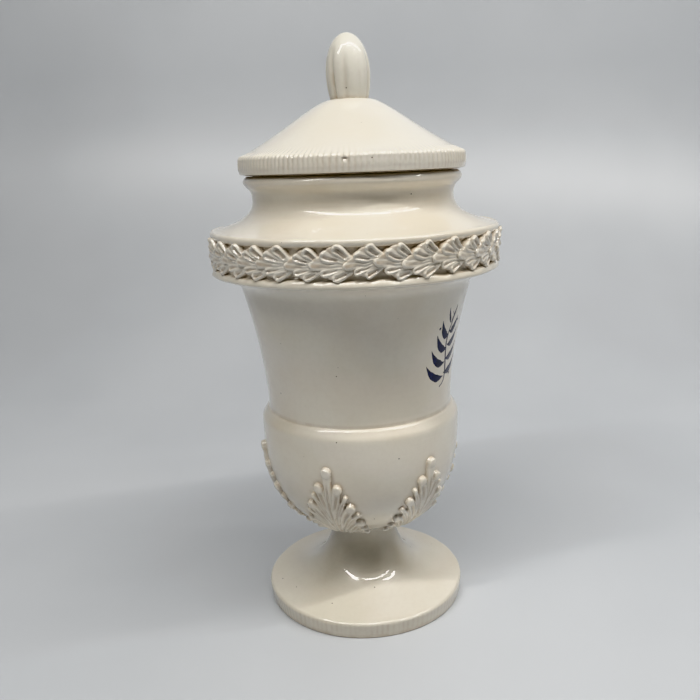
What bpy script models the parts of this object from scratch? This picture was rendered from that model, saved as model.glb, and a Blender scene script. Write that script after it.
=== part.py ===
"""Lidded apothecary jar of glazed earthenware, modelled the way it is made.

The vessel (neck, shoulder, leaf band, bell and bowl) is thrown in one piece and stands on a
hollow trumpet foot. The lid is a hollow cone with a locating flange and carries a fluted bud.
Leaves pressed in moulds are laid one by one round the band and round the bowl.

Lengths in the constants are millimetres; the meshes are metres. +Z is up, z = 0 is the table,
and the leaf tips of the band point towards -X on the side that faces -Y.
"""
import bpy
from math import asin, atan2, cos, pi, radians, sin

MM = 0.001
GAP = 0.3

# Foot
FOOT_EDGE_R = 55.0
FOOT_EDGE_Z = 8.6
FOOT_BASE_R = 54.0
FOOT_RING_INNER_R = 43.0
STEM_WAIST_R = 16.8
STEM_WAIST_Z = 41.0
STEM_TOP_R = 17.6
STEM_TOP_Z = 44.2
FOOT_HOLLOW_R = 9.0
FOOT_HOLLOW_TOP_Z = 33.0

# Bowl: a superellipse turned about the axis
BOWL_R = 53.3
BOWL_CENTRE_Z = 105.3
BOWL_DEPTH = 62.2
BOWL_POWER = 2.62
BOWL_SEAT_Z = 44.5
BOWL_FLOOR_Z = 51.0
BOWL_STEPS = 8
WALL = 4.2

# Bell, leaf band, shoulder and neck
BELL_FOOT_R = 49.4
BELL_FOOT_Z = 116.0
BELL_TOP_R = 59.6
BELL_TOP_Z = 177.5
BAND_LOWER_RIM_R = 74.0
BAND_LOWER_RIM_Z = 186.8
BAND_WALL_R = 71.5
BAND_WALL_LOW_Z = 188.2
BAND_WALL_HIGH_Z = 203.9
SHOULDER_LIP_R = 73.9
SHOULDER_LIP_Z = 205.6
NECK_R = 51.4
NECK_Z = 222.0
MOUTH_LIP_R = 55.5
MOUTH_LIP_Z = 230.7
MOUTH_TOP_Z = 233.5
MOUTH_INNER_R = 50.0

# Lid
LID_EDGE_R = 57.3
LID_BEARING_Z = MOUTH_TOP_Z + GAP
LID_RIM_LOW_Z = 234.3
LID_RIM_HIGH_Z = 241.0
LID_SEAT_R = 10.5
LID_SEAT_Z = 268.9
LID_CEILING_Z = 264.2
FLANGE_R = 45.8
FLANGE_THICKNESS = 3.8
FLANGE_LOW_Z = 223.5

# Finial
FINIAL_BASE_Z = LID_SEAT_Z + GAP
FINIAL_TOP_Z = 300.0
FINIAL_R = 11.0
FINIAL_WIDEST = 0.4
FINIAL_BASE_SHARE = 0.86
FINIAL_SEGMENTS = 40
FINIAL_RINGS = 10
FINIAL_FLUTES = 10
FINIAL_FLUTE_DEPTH = 0.07
FINIAL_LEAN = 0.7

# Leaves of the band: tips point one way, and each tip lies over the next leaf's root
GARLAND_COUNT = 34
GARLAND_FIRST_TURN = 3.0
GARLAND_MID_Z = 196.0
GARLAND_THICKNESS = 0.95
GARLAND_RISE = 2.0
# distance along the leaf from its middle, then its lower and upper edge
GARLAND_OUTLINE = (
    (-10.5, -1.2, 0.4),
    (-8.8, -2.5, 2.0),
    (-6.6, -2.4, 2.8),
    (-4.4, -4.0, 4.9),
    (-1.8, -4.2, 4.8),
    (0.6, -6.9, 7.7),
    (3.6, -6.4, 6.6),
    (6.6, -4.4, 3.7),
    (9.4, -1.6, 1.3),
)

# Leaves of the bowl: fluted triangles that meet at their feet
ACANTHUS_COUNT = 6
ACANTHUS_FIRST_TURN = -19.5
ACANTHUS_HALF_TURN = 29.4
ACANTHUS_FOOT_Z = 47.2
ACANTHUS_TIP_Z = 94.0
ACANTHUS_THICKNESS = 1.3
ACANTHUS_OFFSET = 0.45
ACANTHUS_ROWS = 8
ACANTHUS_COLUMNS = 6
ACANTHUS_SCALLOPS = 4
ACANTHUS_SCALLOP_DEPTH = 0.07

# Curves of the sections: start, two pulls and end, each as radius and height
TRUMPET_CURVE = ((STEM_WAIST_R, STEM_WAIST_Z), (19.6, 23.0), (27.0, 12.0),
                 (FOOT_EDGE_R - 1.4, FOOT_EDGE_Z + 0.6))
HOLLOW_CURVE = ((FOOT_RING_INNER_R - 1.0, 2.6), (24.0, 7.5), (10.5, 14.0),
                (FOOT_HOLLOW_R, FOOT_HOLLOW_TOP_Z - 3.0))
INNER_WAIST_CURVE = ((BOWL_R - WALL, BOWL_CENTRE_Z + 1.5), (BOWL_R - WALL, 110.5),
                     (BELL_FOOT_R - WALL, 109.5), (BELL_FOOT_R - WALL, BELL_FOOT_Z))
INNER_BELL_CURVE = ((BELL_FOOT_R - WALL, BELL_FOOT_Z), (49.9 - WALL, 140.0),
                    (55.5 - WALL, 161.0), (BELL_TOP_R - WALL, BELL_TOP_Z + 3.0))
INNER_BAND_CURVE = ((BELL_TOP_R - WALL, BELL_TOP_Z + 3.0), (56.8, 187.0),
                    (BAND_WALL_R - WALL, 187.5), (BAND_WALL_R - WALL, 193.0))
INNER_SHOULDER_CURVE = ((BAND_WALL_R - WALL, 200.5), (67.0, 204.0), (54.0, 206.5), (NECK_R - WALL, 216.0))
INNER_NECK_CURVE = ((NECK_R - WALL, 216.0), (NECK_R - WALL, 222.0),
                    (MOUTH_INNER_R, 227.0), (MOUTH_INNER_R, MOUTH_TOP_Z - 1.0))
UNDER_LIP_CURVE = ((MOUTH_LIP_R - 1.6, MOUTH_LIP_Z - 2.9), (52.4, 227.0), (NECK_R, 226.0), (NECK_R, NECK_Z))
SHOULDER_CURVE = ((NECK_R, NECK_Z), (NECK_R, 214.5), (57.5, 211.2), (70.5, 207.6))
UNDER_BAND_CURVE = ((72.0, 185.7), (66.5, 185.2), (61.2, 182.5), (BELL_TOP_R, BELL_TOP_Z))
BELL_CURVE = ((BELL_TOP_R, BELL_TOP_Z), (55.5, 161.0), (49.9, 140.0), (BELL_FOOT_R, BELL_FOOT_Z))
STEP_CURVE = ((50.6, 112.9), (52.5, 112.4), (BOWL_R, 109.6), (BOWL_R, BOWL_CENTRE_Z))
CONE_CURVE = ((LID_SEAT_R, LID_SEAT_Z), (18.0, 268.2), (30.0, 256.5), (54.3, 243.4))
INNER_LID_CURVE = ((FLANGE_R - FLANGE_THICKNESS, 238.0), (FLANGE_R - FLANGE_THICKNESS, 243.5),
                   (38.0, 247.0), (30.0, 251.8))

# Radii of the rounded edges
FOOT_EDGE_ROUND = 1.2
FOOT_BASE_ROUND = 0.9
SHOULDER_LIP_ROUND = 1.7
BAND_RIM_ROUND = 0.9
LID_TOP_ROUND = 2.4
LID_LOW_ROUND = 1.0
FLANGE_ROUND = 1.0

SEGMENTS = 36
MERGE = 0.00001

CREAM = (0.78, 0.73, 0.62, 1.0)
IVORY = (0.80, 0.76, 0.66, 1.0)
FOOT_CREAM = (0.76, 0.71, 0.60, 1.0)
LEAF_CREAM = (0.74, 0.68, 0.56, 1.0)


def clear_scene():
    for item in list(bpy.data.objects):
        bpy.data.objects.remove(item, do_unlink=True)


def new_collection(name):
    collection = bpy.data.collections.new(name)
    bpy.context.scene.collection.children.link(collection)
    return collection


def glaze(name, colour, roughness):
    material = bpy.data.materials.new(name)
    material.use_nodes = True
    shader = material.node_tree.nodes["Principled BSDF"]
    shader.inputs["Base Color"].default_value = colour
    shader.inputs["Roughness"].default_value = roughness
    shader.inputs["Metallic"].default_value = 0.0
    return material


def curve(start, pull_a, pull_b, end, pieces):
    """Points of a cubic curve from start, leaving its end to the next stretch."""
    points = []
    for index in range(pieces):
        t = index / pieces
        weights = ((1 - t) ** 3, 3 * t * (1 - t) ** 2, 3 * t * t * (1 - t), t ** 3)
        corners = (start, pull_a, pull_b, end)
        points.append(tuple(sum(w * c[axis] for w, c in zip(weights, corners)) for axis in (0, 1)))
    return points


def arc(centre, radius, from_deg, to_deg, pieces):
    """Points of a circular arc in the section plane, both ends included."""
    points = []
    for index in range(pieces + 1):
        angle = radians(from_deg + (to_deg - from_deg) * index / pieces)
        points.append((centre[0] + radius * cos(angle), centre[1] + radius * sin(angle)))
    return points


def bowl_point(turn, radius, depth):
    """Point of the bowl's section: turn 0 is its widest place, turn pi/2 its pole."""
    r = radius * max(cos(turn), 0.0) ** (2 / BOWL_POWER)
    z = BOWL_CENTRE_Z - depth * sin(turn) ** (2 / BOWL_POWER)
    return (r, z)


def bowl_turn(z, depth):
    """The turn at which the bowl's section has the height z."""
    return asin(((BOWL_CENTRE_Z - z) / depth) ** (BOWL_POWER / 2))


def turned(name, section, collection, material):
    """A solid of revolution whose section runs down its outer side."""
    mesh = bpy.data.meshes.new(name)
    points = [(r * MM, 0.0, z * MM) for r, z in section]
    mesh.from_pydata(points, [(i, i + 1) for i in range(len(points) - 1)], [])
    item = bpy.data.objects.new(name, mesh)
    collection.objects.link(item)
    screw = item.modifiers.new("Turn", "SCREW")
    screw.axis = "Z"
    screw.steps = SEGMENTS
    screw.render_steps = SEGMENTS
    screw.use_merge_vertices = True
    screw.merge_threshold = MERGE
    screw.use_smooth_shade = True
    mesh.materials.append(material)
    return item


def foot_section():
    section = [(0.0, STEM_TOP_Z), (STEM_TOP_R, STEM_TOP_Z)]
    section += curve(*TRUMPET_CURVE, 9)
    section += arc((FOOT_EDGE_R - FOOT_EDGE_ROUND, FOOT_EDGE_Z - 0.9), FOOT_EDGE_ROUND, 75, 0, 2)
    section += arc((FOOT_BASE_R - 0.6, FOOT_BASE_ROUND), FOOT_BASE_ROUND, 0, -90, 2)
    section += [(FOOT_RING_INNER_R, 0.0)]
    section += curve(*HOLLOW_CURVE, 5)
    section += [(FOOT_HOLLOW_R - 2.0, FOOT_HOLLOW_TOP_Z - 1.2), (0.0, FOOT_HOLLOW_TOP_Z)]
    return section


def vessel_inside():
    """The inner side, from the floor's centre up to the mouth."""
    inner_r = BOWL_R - WALL
    depth = BOWL_CENTRE_Z - BOWL_FLOOR_Z
    section = [(0.0, BOWL_FLOOR_Z)]
    for step in range(BOWL_STEPS - 3, 0, -1):
        section.append(bowl_point(pi / 2 * step / (BOWL_STEPS - 2), inner_r, depth))
    section += curve(*INNER_WAIST_CURVE, 2)
    section += curve(*INNER_BELL_CURVE, 4)
    section += curve(*INNER_BAND_CURVE, 3)
    section += curve(*INNER_SHOULDER_CURVE, 4)
    section += curve(*INNER_NECK_CURVE, 3)
    section += [(MOUTH_INNER_R, MOUTH_TOP_Z - 1.0), (MOUTH_INNER_R + 1.0, MOUTH_TOP_Z)]
    return section


def vessel_outside():
    """The outer side, from the mouth's lip down to the seat on the stem."""
    lip = MOUTH_TOP_Z - MOUTH_LIP_Z
    section = arc((MOUTH_LIP_R - lip, MOUTH_LIP_Z), lip, 90, -50, 4)
    section += curve(*UNDER_LIP_CURVE, 3)
    section += curve(*SHOULDER_CURVE, 4)
    section += arc((SHOULDER_LIP_R - SHOULDER_LIP_ROUND, SHOULDER_LIP_Z), SHOULDER_LIP_ROUND, 70, -70, 2)
    section += [(BAND_WALL_R, BAND_WALL_HIGH_Z), (BAND_WALL_R, BAND_WALL_LOW_Z)]
    section += arc((BAND_LOWER_RIM_R - BAND_RIM_ROUND, BAND_LOWER_RIM_Z), BAND_RIM_ROUND, 70, -70, 2)
    section += curve(*UNDER_BAND_CURVE, 4)
    section += curve(*BELL_CURVE, 4)
    section += [(BELL_FOOT_R, BELL_FOOT_Z), (BELL_FOOT_R + 0.2, BELL_FOOT_Z - 2.2)]
    section += curve(*STEP_CURVE, 3)
    seat_turn = bowl_turn(BOWL_SEAT_Z, BOWL_DEPTH)
    for step in range(BOWL_STEPS + 1):
        section.append(bowl_point(seat_turn * step / BOWL_STEPS, BOWL_R, BOWL_DEPTH))
    section.append((0.0, BOWL_SEAT_Z))
    return section


def lid_section():
    section = [(0.0, LID_SEAT_Z)]
    section += curve(*CONE_CURVE, 7)
    section += arc((LID_EDGE_R - LID_TOP_ROUND, LID_RIM_HIGH_Z), LID_TOP_ROUND, 90, 0, 3)
    section += arc((LID_EDGE_R - LID_LOW_ROUND, LID_RIM_LOW_Z + LID_LOW_ROUND), LID_LOW_ROUND, 0, -90, 2)
    section += [(MOUTH_LIP_R - 1.5, LID_BEARING_Z), (FLANGE_R, LID_BEARING_Z)]
    section += arc((FLANGE_R - FLANGE_ROUND - 0.1, FLANGE_LOW_Z + FLANGE_ROUND), FLANGE_ROUND, 0, -90, 2)
    inner_r = FLANGE_R - FLANGE_THICKNESS
    section += arc((inner_r + FLANGE_ROUND, FLANGE_LOW_Z + FLANGE_ROUND), FLANGE_ROUND, 270, 180, 2)
    section += curve(*INNER_LID_CURVE, 3)
    section += [INNER_LID_CURVE[-1], (12.0, 262.4), (0.0, LID_CEILING_Z)]
    return section


def finial_radius(up):
    """Radius of the bud at a share of its height, before its flutes."""
    if up > FINIAL_WIDEST:
        return FINIAL_R * (1.0 - ((up - FINIAL_WIDEST) / (1.0 - FINIAL_WIDEST)) ** 2) ** 0.5
    return FINIAL_R * (1.0 - (1.0 - FINIAL_BASE_SHARE) * (1.0 - up / FINIAL_WIDEST) ** 2)


def build_finial(collection, material):
    """A bud with broad flutes that fade into its dome, on a flat base."""
    bpy.ops.mesh.primitive_uv_sphere_add(segments=FINIAL_SEGMENTS, ring_count=FINIAL_RINGS, radius=1.0)
    item = bpy.context.active_object
    height = FINIAL_TOP_Z - FINIAL_BASE_Z
    for vertex in item.data.vertices:
        x, y, z = vertex.co
        ring = round((asin(max(-1.0, min(z, 1.0))) / pi + 0.5) * FINIAL_RINGS)
        up = sin(pi / 2 * max(ring - 1, 0) / (FINIAL_RINGS - 1))
        turn = atan2(y, x)
        groove = FINIAL_FLUTE_DEPTH * (1.0 - up ** 3) * (0.5 + 0.5 * cos(FINIAL_FLUTES * turn))
        r = finial_radius(up) * (1.0 - groove) if ring else 0.0
        vertex.co = ((r * cos(turn) - FINIAL_LEAN * up) * MM, r * sin(turn) * MM,
                     (FINIAL_BASE_Z + height * up) * MM)
    adopt(item, "finial", collection, material)
    item.data.shade_smooth()


def adopt(item, name, collection, material):
    """Give a new object its name, its collection and its one material."""
    item.name = name
    item.data.name = name
    for holder in list(item.users_collection):
        holder.objects.unlink(item)
    collection.objects.link(item)
    item.data.materials.clear()
    item.data.materials.append(material)


def add_solidify(item, thickness):
    solidify = item.modifiers.new("Thickness", "SOLIDIFY")
    solidify.thickness = thickness * MM
    solidify.offset = 1.0
    solidify.use_rim = True


def repeat(first, name, count, first_turn, thickness, collection):
    """Thicken a leaf made facing -Y and set it and its copies round the axis, turns in degrees."""
    first.rotation_euler.z = radians(first_turn)
    add_solidify(first, thickness)
    for number in range(2, count + 1):
        leaf = bpy.data.objects.new(name % number, first.data)
        leaf.rotation_euler.z = first.rotation_euler.z + 2 * pi * (number - 1) / count
        collection.objects.link(leaf)
        add_solidify(leaf, thickness)


def build_garland(collection, material):
    """Shingled leaves round the band, made as one mesh and turned into place."""
    rows = len(GARLAND_OUTLINE) - 1
    bpy.ops.mesh.primitive_grid_add(x_subdivisions=rows, y_subdivisions=2, size=2.0)
    first = bpy.context.active_object
    inner_r = BAND_WALL_R + GAP
    for vertex in first.data.vertices:
        station = round((vertex.co.x + 1.0) / 2.0 * rows)
        along, low, high = GARLAND_OUTLINE[station]
        z = GARLAND_MID_Z + low + (high - low) * (vertex.co.y + 1.0) / 2.0
        span = GARLAND_OUTLINE[-1][0] - GARLAND_OUTLINE[0][0]
        r = inner_r + GARLAND_RISE * (GARLAND_OUTLINE[-1][0] - along) / span
        angle = along / inner_r - pi / 2
        vertex.co = (r * cos(angle) * MM, r * sin(angle) * MM, z * MM)
    adopt(first, "garland_leaf_01", collection, material)
    repeat(first, "garland_leaf_%02d", GARLAND_COUNT, GARLAND_FIRST_TURN, GARLAND_THICKNESS, collection)


def build_acanthus(collection, material):
    """Leaves laid on the bowl, their scalloped sides narrowing to the tip."""
    bpy.ops.mesh.primitive_grid_add(x_subdivisions=ACANTHUS_COLUMNS, y_subdivisions=ACANTHUS_ROWS, size=2.0)
    first = bpy.context.active_object
    foot_turn = bowl_turn(ACANTHUS_FOOT_Z, BOWL_DEPTH)
    tip_turn = bowl_turn(ACANTHUS_TIP_Z, BOWL_DEPTH)
    for vertex in first.data.vertices:
        up = (vertex.co.y + 1.0) / 2.0
        turn = foot_turn + (tip_turn - foot_turn) * up
        r, z = bowl_point(turn, BOWL_R + ACANTHUS_OFFSET, BOWL_DEPTH + ACANTHUS_OFFSET)
        narrow = max((ACANTHUS_TIP_Z - z) / (ACANTHUS_TIP_Z - ACANTHUS_FOOT_Z), 0.06)
        scallop = 1.0 - ACANTHUS_SCALLOP_DEPTH * (1 - cos(2 * pi * ACANTHUS_SCALLOPS * up))
        angle = radians(ACANTHUS_HALF_TURN) * narrow * scallop * vertex.co.x - pi / 2
        vertex.co = (r * cos(angle) * MM, r * sin(angle) * MM, z * MM)
    adopt(first, "acanthus_leaf_1", collection, material)
    repeat(first, "acanthus_leaf_%d", ACANTHUS_COUNT, ACANTHUS_FIRST_TURN, ACANTHUS_THICKNESS, collection)


def build():
    clear_scene()
    jar = new_collection("apothecary_jar")
    turned("foot", foot_section(), jar, glaze("foot_glaze", FOOT_CREAM, 0.22))
    turned("vessel", vessel_inside() + vessel_outside(), jar, glaze("vessel_glaze", CREAM, 0.18))
    turned("lid", lid_section(), jar, glaze("lid_glaze", IVORY, 0.20))
    build_finial(jar, glaze("finial_glaze", IVORY, 0.20))
    build_garland(jar, glaze("garland_glaze", LEAF_CREAM, 0.25))
    build_acanthus(jar, glaze("acanthus_glaze", LEAF_CREAM, 0.25))


build()
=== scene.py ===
"""Looks of the lidded apothecary jar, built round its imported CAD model.

Each glazed piece is rebuilt as a fine mesh on the same dimensions as its CAD node: turned
bodies with the small unevenness of hand work, leaves as carved relief, and a cobalt sprig
painted on the side. Lengths are millimetres, except that the studio's places and sizes and the
materials' bump distances are metres.
"""
from math import cos, pi, radians, sin

import bpy
import bmesh
import numpy as np
from mathutils import Matrix, Vector


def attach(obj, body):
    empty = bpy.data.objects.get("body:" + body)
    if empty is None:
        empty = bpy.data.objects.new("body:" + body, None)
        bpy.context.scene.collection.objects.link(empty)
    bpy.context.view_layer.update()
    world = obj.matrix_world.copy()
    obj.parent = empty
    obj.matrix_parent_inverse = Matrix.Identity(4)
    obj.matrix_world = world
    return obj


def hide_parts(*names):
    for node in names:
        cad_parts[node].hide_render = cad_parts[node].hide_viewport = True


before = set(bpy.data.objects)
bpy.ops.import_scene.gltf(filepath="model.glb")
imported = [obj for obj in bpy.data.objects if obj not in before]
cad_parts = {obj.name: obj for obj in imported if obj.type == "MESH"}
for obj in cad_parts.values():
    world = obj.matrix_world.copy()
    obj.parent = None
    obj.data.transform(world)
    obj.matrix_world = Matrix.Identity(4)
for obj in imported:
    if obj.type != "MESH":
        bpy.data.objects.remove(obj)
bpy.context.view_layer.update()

MM = 0.001

# Foot
FOOT_EDGE_R = 55.0
FOOT_EDGE_Z = 8.6
FOOT_BASE_R = 54.0
FOOT_RING_INNER_R = 43.0
STEM_WAIST_R = 16.8
STEM_WAIST_Z = 41.0
STEM_TOP_R = 17.6
STEM_TOP_Z = 44.2
FOOT_HOLLOW_R = 9.0
FOOT_HOLLOW_TOP_Z = 33.0

# Bowl: a superellipse turned about the axis
BOWL_R = 53.3
BOWL_CENTRE_Z = 105.3
BOWL_DEPTH = 62.2
BOWL_POWER = 2.62
BOWL_SEAT_Z = 44.5
BOWL_FLOOR_Z = 51.0
WALL = 4.2

# Bell, leaf band, shoulder and neck
BELL_FOOT_R = 49.4
BELL_FOOT_Z = 116.0
BELL_TOP_R = 59.6
BELL_TOP_Z = 177.5
BAND_LOWER_RIM_R = 74.0
BAND_LOWER_RIM_Z = 186.8
BAND_WALL_R = 71.5
BAND_WALL_LOW_Z = 188.2
BAND_WALL_TOP_Z = 202.4
SHOULDER_LIP_R = 73.9
SHOULDER_LIP_Z = 205.6
EAVE_ROUND = 2.0
SILL_ROUND = 2.8
NECK_R = 51.4
NECK_Z = 222.0
MOUTH_LIP_R = 55.5
MOUTH_LIP_Z = 230.7
MOUTH_TOP_Z = 233.5
MOUTH_INNER_R = 50.0
BAND_INNER_LOW_Z = 193.0
BAND_INNER_HIGH_Z = 200.5
NECK_INNER_Z = 216.0

# Lid
LID_EDGE_R = 57.3
LID_BEARING_Z = 233.8
LID_RIM_LOW_Z = 234.3
LID_RIM_HIGH_Z = 241.0
LID_SEAT_R = 10.5
LID_SEAT_Z = 268.9
LID_CEILING_Z = 264.2
FLANGE_R = 45.8
FLANGE_THICKNESS = 3.8
FLANGE_LOW_Z = 223.5
FLANGE_INNER_TOP_Z = 238.0
LID_BEARING_R = 53.8
LID_RIM_INNER_R = 53.0

# Finial
FINIAL_BASE_Z = 268.75
FINIAL_TOP_Z = 300.0
FINIAL_R = 11.0
FINIAL_WIDEST = 0.4
FINIAL_BASE_SHARE = 0.86
FINIAL_FLUTES = 10
FINIAL_FIRST_GROOVE_DEG = -7.5
FINIAL_LEAN = 0.7

# Leaves
GARLAND_COUNT = 34
GARLAND_MID_Z = 196.0
GARLAND_FIRST_DEG = 3.0
GARLAND_SEED = 100
GARLAND_GRID = 0.25
ACANTHUS_COUNT = 6
ACANTHUS_FIRST_DEG = -19.5
ACANTHUS_TIP_Z = 94.0
ACANTHUS_SEED = 200
ACANTHUS_GRID = 0.34

# Places where two stretches of a section meet, each as radius and height
SHOULDER_END = (70.5, 207.6)
SILL_FOOT = (71.6, 185.2)
BOWL_STEP_INNER = (49.9, 112.6)
BOWL_STEP_OUTER = (51.3, 111.0)
LID_HOLLOW_JOIN = (30.0, 251.8)

# Stretches of height with their own unevenness: lowest, highest, and how softly they fade
SILL_ZONE = (185.6, 188.6, 0.9)
SILL_TOP_ZONE = (187.9, 190.0, 1.0)
EAVE_ZONE = (204.0, 207.4, 1.0)
MOUTH_ZONE = (231.5, 234.0, 2.0)
SILL_INNER_R = 71.6
EAVE_INNER_R = 71.0
MOUTH_LIP_INNER_R = 50.5

# Spacing of the rings along a section, and how many points each ring has
OUTER_STEP = 1.4
INNER_STEP = 3.6
VESSEL_SEGMENTS = 288
FINIAL_SEGMENTS = 240
SEGMENTS_PER_NOTCH = 6
FOOT_NOTCHES = 124
LID_NOTCHES = 138

# Stands for "far outside any lobe" in a leaf's relief
FAR_OUTSIDE = -1e3


# ---------------------------------------------------------------- section curves

def curve(start, pull_a, pull_b, end, step=OUTER_STEP):
    """Points of a cubic curve, its end left to the next stretch."""
    corners = np.array([start, pull_a, pull_b, end], float)
    length = np.linalg.norm(np.diff(corners, axis=0), axis=1).sum()
    t = np.linspace(0, 1, max(int(length / step), 2), endpoint=False)[:, None]
    points = ((1 - t) ** 3 * corners[0] + 3 * t * (1 - t) ** 2 * corners[1]
              + 3 * t * t * (1 - t) * corners[2] + t ** 3 * corners[3])
    return points.tolist()


def line(start, end, step=OUTER_STEP):
    """Points of a straight stretch, its end left to the next stretch."""
    start, end = np.array(start, float), np.array(end, float)
    t = np.linspace(0, 1, max(int(np.linalg.norm(end - start) / step), 1), endpoint=False)[:, None]
    return (start + (end - start) * t).tolist()


def arc(centre, radius, from_deg, to_deg, pieces=10):
    """Points of a circular arc, both ends included."""
    angle = np.radians(np.linspace(from_deg, to_deg, pieces + 1))
    return np.stack([centre[0] + radius * np.cos(angle), centre[1] + radius * np.sin(angle)], 1).tolist()


def bowl_point(turn, radius=BOWL_R, depth=BOWL_DEPTH):
    """Point of the bowl's section: turn 0 is its widest place, turn pi/2 its pole."""
    r = radius * np.maximum(np.cos(turn), 0) ** (2 / BOWL_POWER)
    z = BOWL_CENTRE_Z - depth * np.sin(turn) ** (2 / BOWL_POWER)
    return r, z


def bowl_turn(z, depth=BOWL_DEPTH):
    return np.arcsin(((BOWL_CENTRE_Z - z) / depth) ** (BOWL_POWER / 2))


def bowl_curve(first_turn, last_turn, radius, depth, step):
    """Evenly spaced points of the bowl's section between two turns."""
    turns = np.linspace(first_turn, last_turn, 400)
    points = np.stack(bowl_point(turns, radius, depth), 1)
    run = np.concatenate([[0], np.cumsum(np.linalg.norm(np.diff(points, axis=0), axis=1))])
    marks = np.linspace(0, run[-1], max(int(run[-1] / step), 3))
    return np.stack([np.interp(marks, run, points[:, 0]), np.interp(marks, run, points[:, 1])], 1).tolist()


def foot_section():
    section = [[0.0, STEM_TOP_Z]] + line((2.0, STEM_TOP_Z), (STEM_TOP_R - 0.4, STEM_TOP_Z), 4.0)
    section += curve((STEM_TOP_R - 0.4, STEM_TOP_Z), (STEM_TOP_R + 0.1, STEM_TOP_Z - 0.3),
                     (STEM_WAIST_R, STEM_WAIST_Z + 2.0), (STEM_WAIST_R, STEM_WAIST_Z), 0.5)
    section += curve((STEM_WAIST_R, STEM_WAIST_Z), (20.5, 21.0),
                     (29.0, 11.6), (FOOT_EDGE_R - 1.8, FOOT_EDGE_Z + 0.45))
    section += arc((FOOT_EDGE_R - 1.7, FOOT_EDGE_Z - 1.25), 1.7, 84, 0)
    section += line((FOOT_EDGE_R, FOOT_EDGE_Z - 1.7), (FOOT_BASE_R + 0.3, 1.3), 0.6)
    section += arc((FOOT_BASE_R - 0.6, 0.9), 0.9, 0, -90)
    section += line((FOOT_BASE_R - 1.6, 0.0), (FOOT_RING_INNER_R + 0.8, 0.0), 2.0)
    section += arc((FOOT_RING_INNER_R + 0.8, 0.8), 0.8, 270, 200, 5)
    section += curve((FOOT_RING_INNER_R - 0.2, 1.6), (24.0, 7.5),
                     (10.5, 14.0), (FOOT_HOLLOW_R, FOOT_HOLLOW_TOP_Z - 3.0), INNER_STEP)
    section += curve((FOOT_HOLLOW_R, FOOT_HOLLOW_TOP_Z - 3.0), (8.6, FOOT_HOLLOW_TOP_Z - 0.8),
                     (5.0, FOOT_HOLLOW_TOP_Z), (0.5, FOOT_HOLLOW_TOP_Z), INNER_STEP)
    return section + [[0.0, FOOT_HOLLOW_TOP_Z]]


def vessel_inside():
    """The inner side, from the floor's centre up to the mouth."""
    inner_r = BOWL_R - WALL
    depth = BOWL_CENTRE_Z - BOWL_FLOOR_Z
    section = [[0.0, BOWL_FLOOR_Z]]
    section += bowl_curve(pi / 2 - 0.02, 0.0, inner_r, depth, INNER_STEP)
    section += curve((inner_r, BOWL_CENTRE_Z + 1.5), (inner_r, 110.5),
                     (BELL_FOOT_R - WALL, 109.5), (BELL_FOOT_R - WALL, BELL_FOOT_Z), INNER_STEP)
    section += curve((BELL_FOOT_R - WALL, BELL_FOOT_Z), (49.9 - WALL, 140.0),
                     (55.5 - WALL, 161.0), (BELL_TOP_R - WALL, BELL_TOP_Z + 3.0), INNER_STEP)
    section += curve((BELL_TOP_R - WALL, BELL_TOP_Z + 3.0), (56.8, 187.0),
                     (BAND_WALL_R - WALL, 187.5), (BAND_WALL_R - WALL, BAND_INNER_LOW_Z), INNER_STEP)
    section += line((BAND_WALL_R - WALL, BAND_INNER_LOW_Z), (BAND_WALL_R - WALL, BAND_INNER_HIGH_Z),
                    INNER_STEP)
    section += curve((BAND_WALL_R - WALL, BAND_INNER_HIGH_Z), (67.0, 204.0),
                     (54.0, 206.5), (NECK_R - WALL, NECK_INNER_Z), INNER_STEP)
    section += curve((NECK_R - WALL, NECK_INNER_Z), (NECK_R - WALL, NECK_Z),
                     (MOUTH_INNER_R, 227.0), (MOUTH_INNER_R, MOUTH_TOP_Z - 1.2), INNER_STEP)
    section += arc((MOUTH_INNER_R + 1.2, MOUTH_TOP_Z - 1.2), 1.2, 180, 95, 6)
    return section


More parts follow.
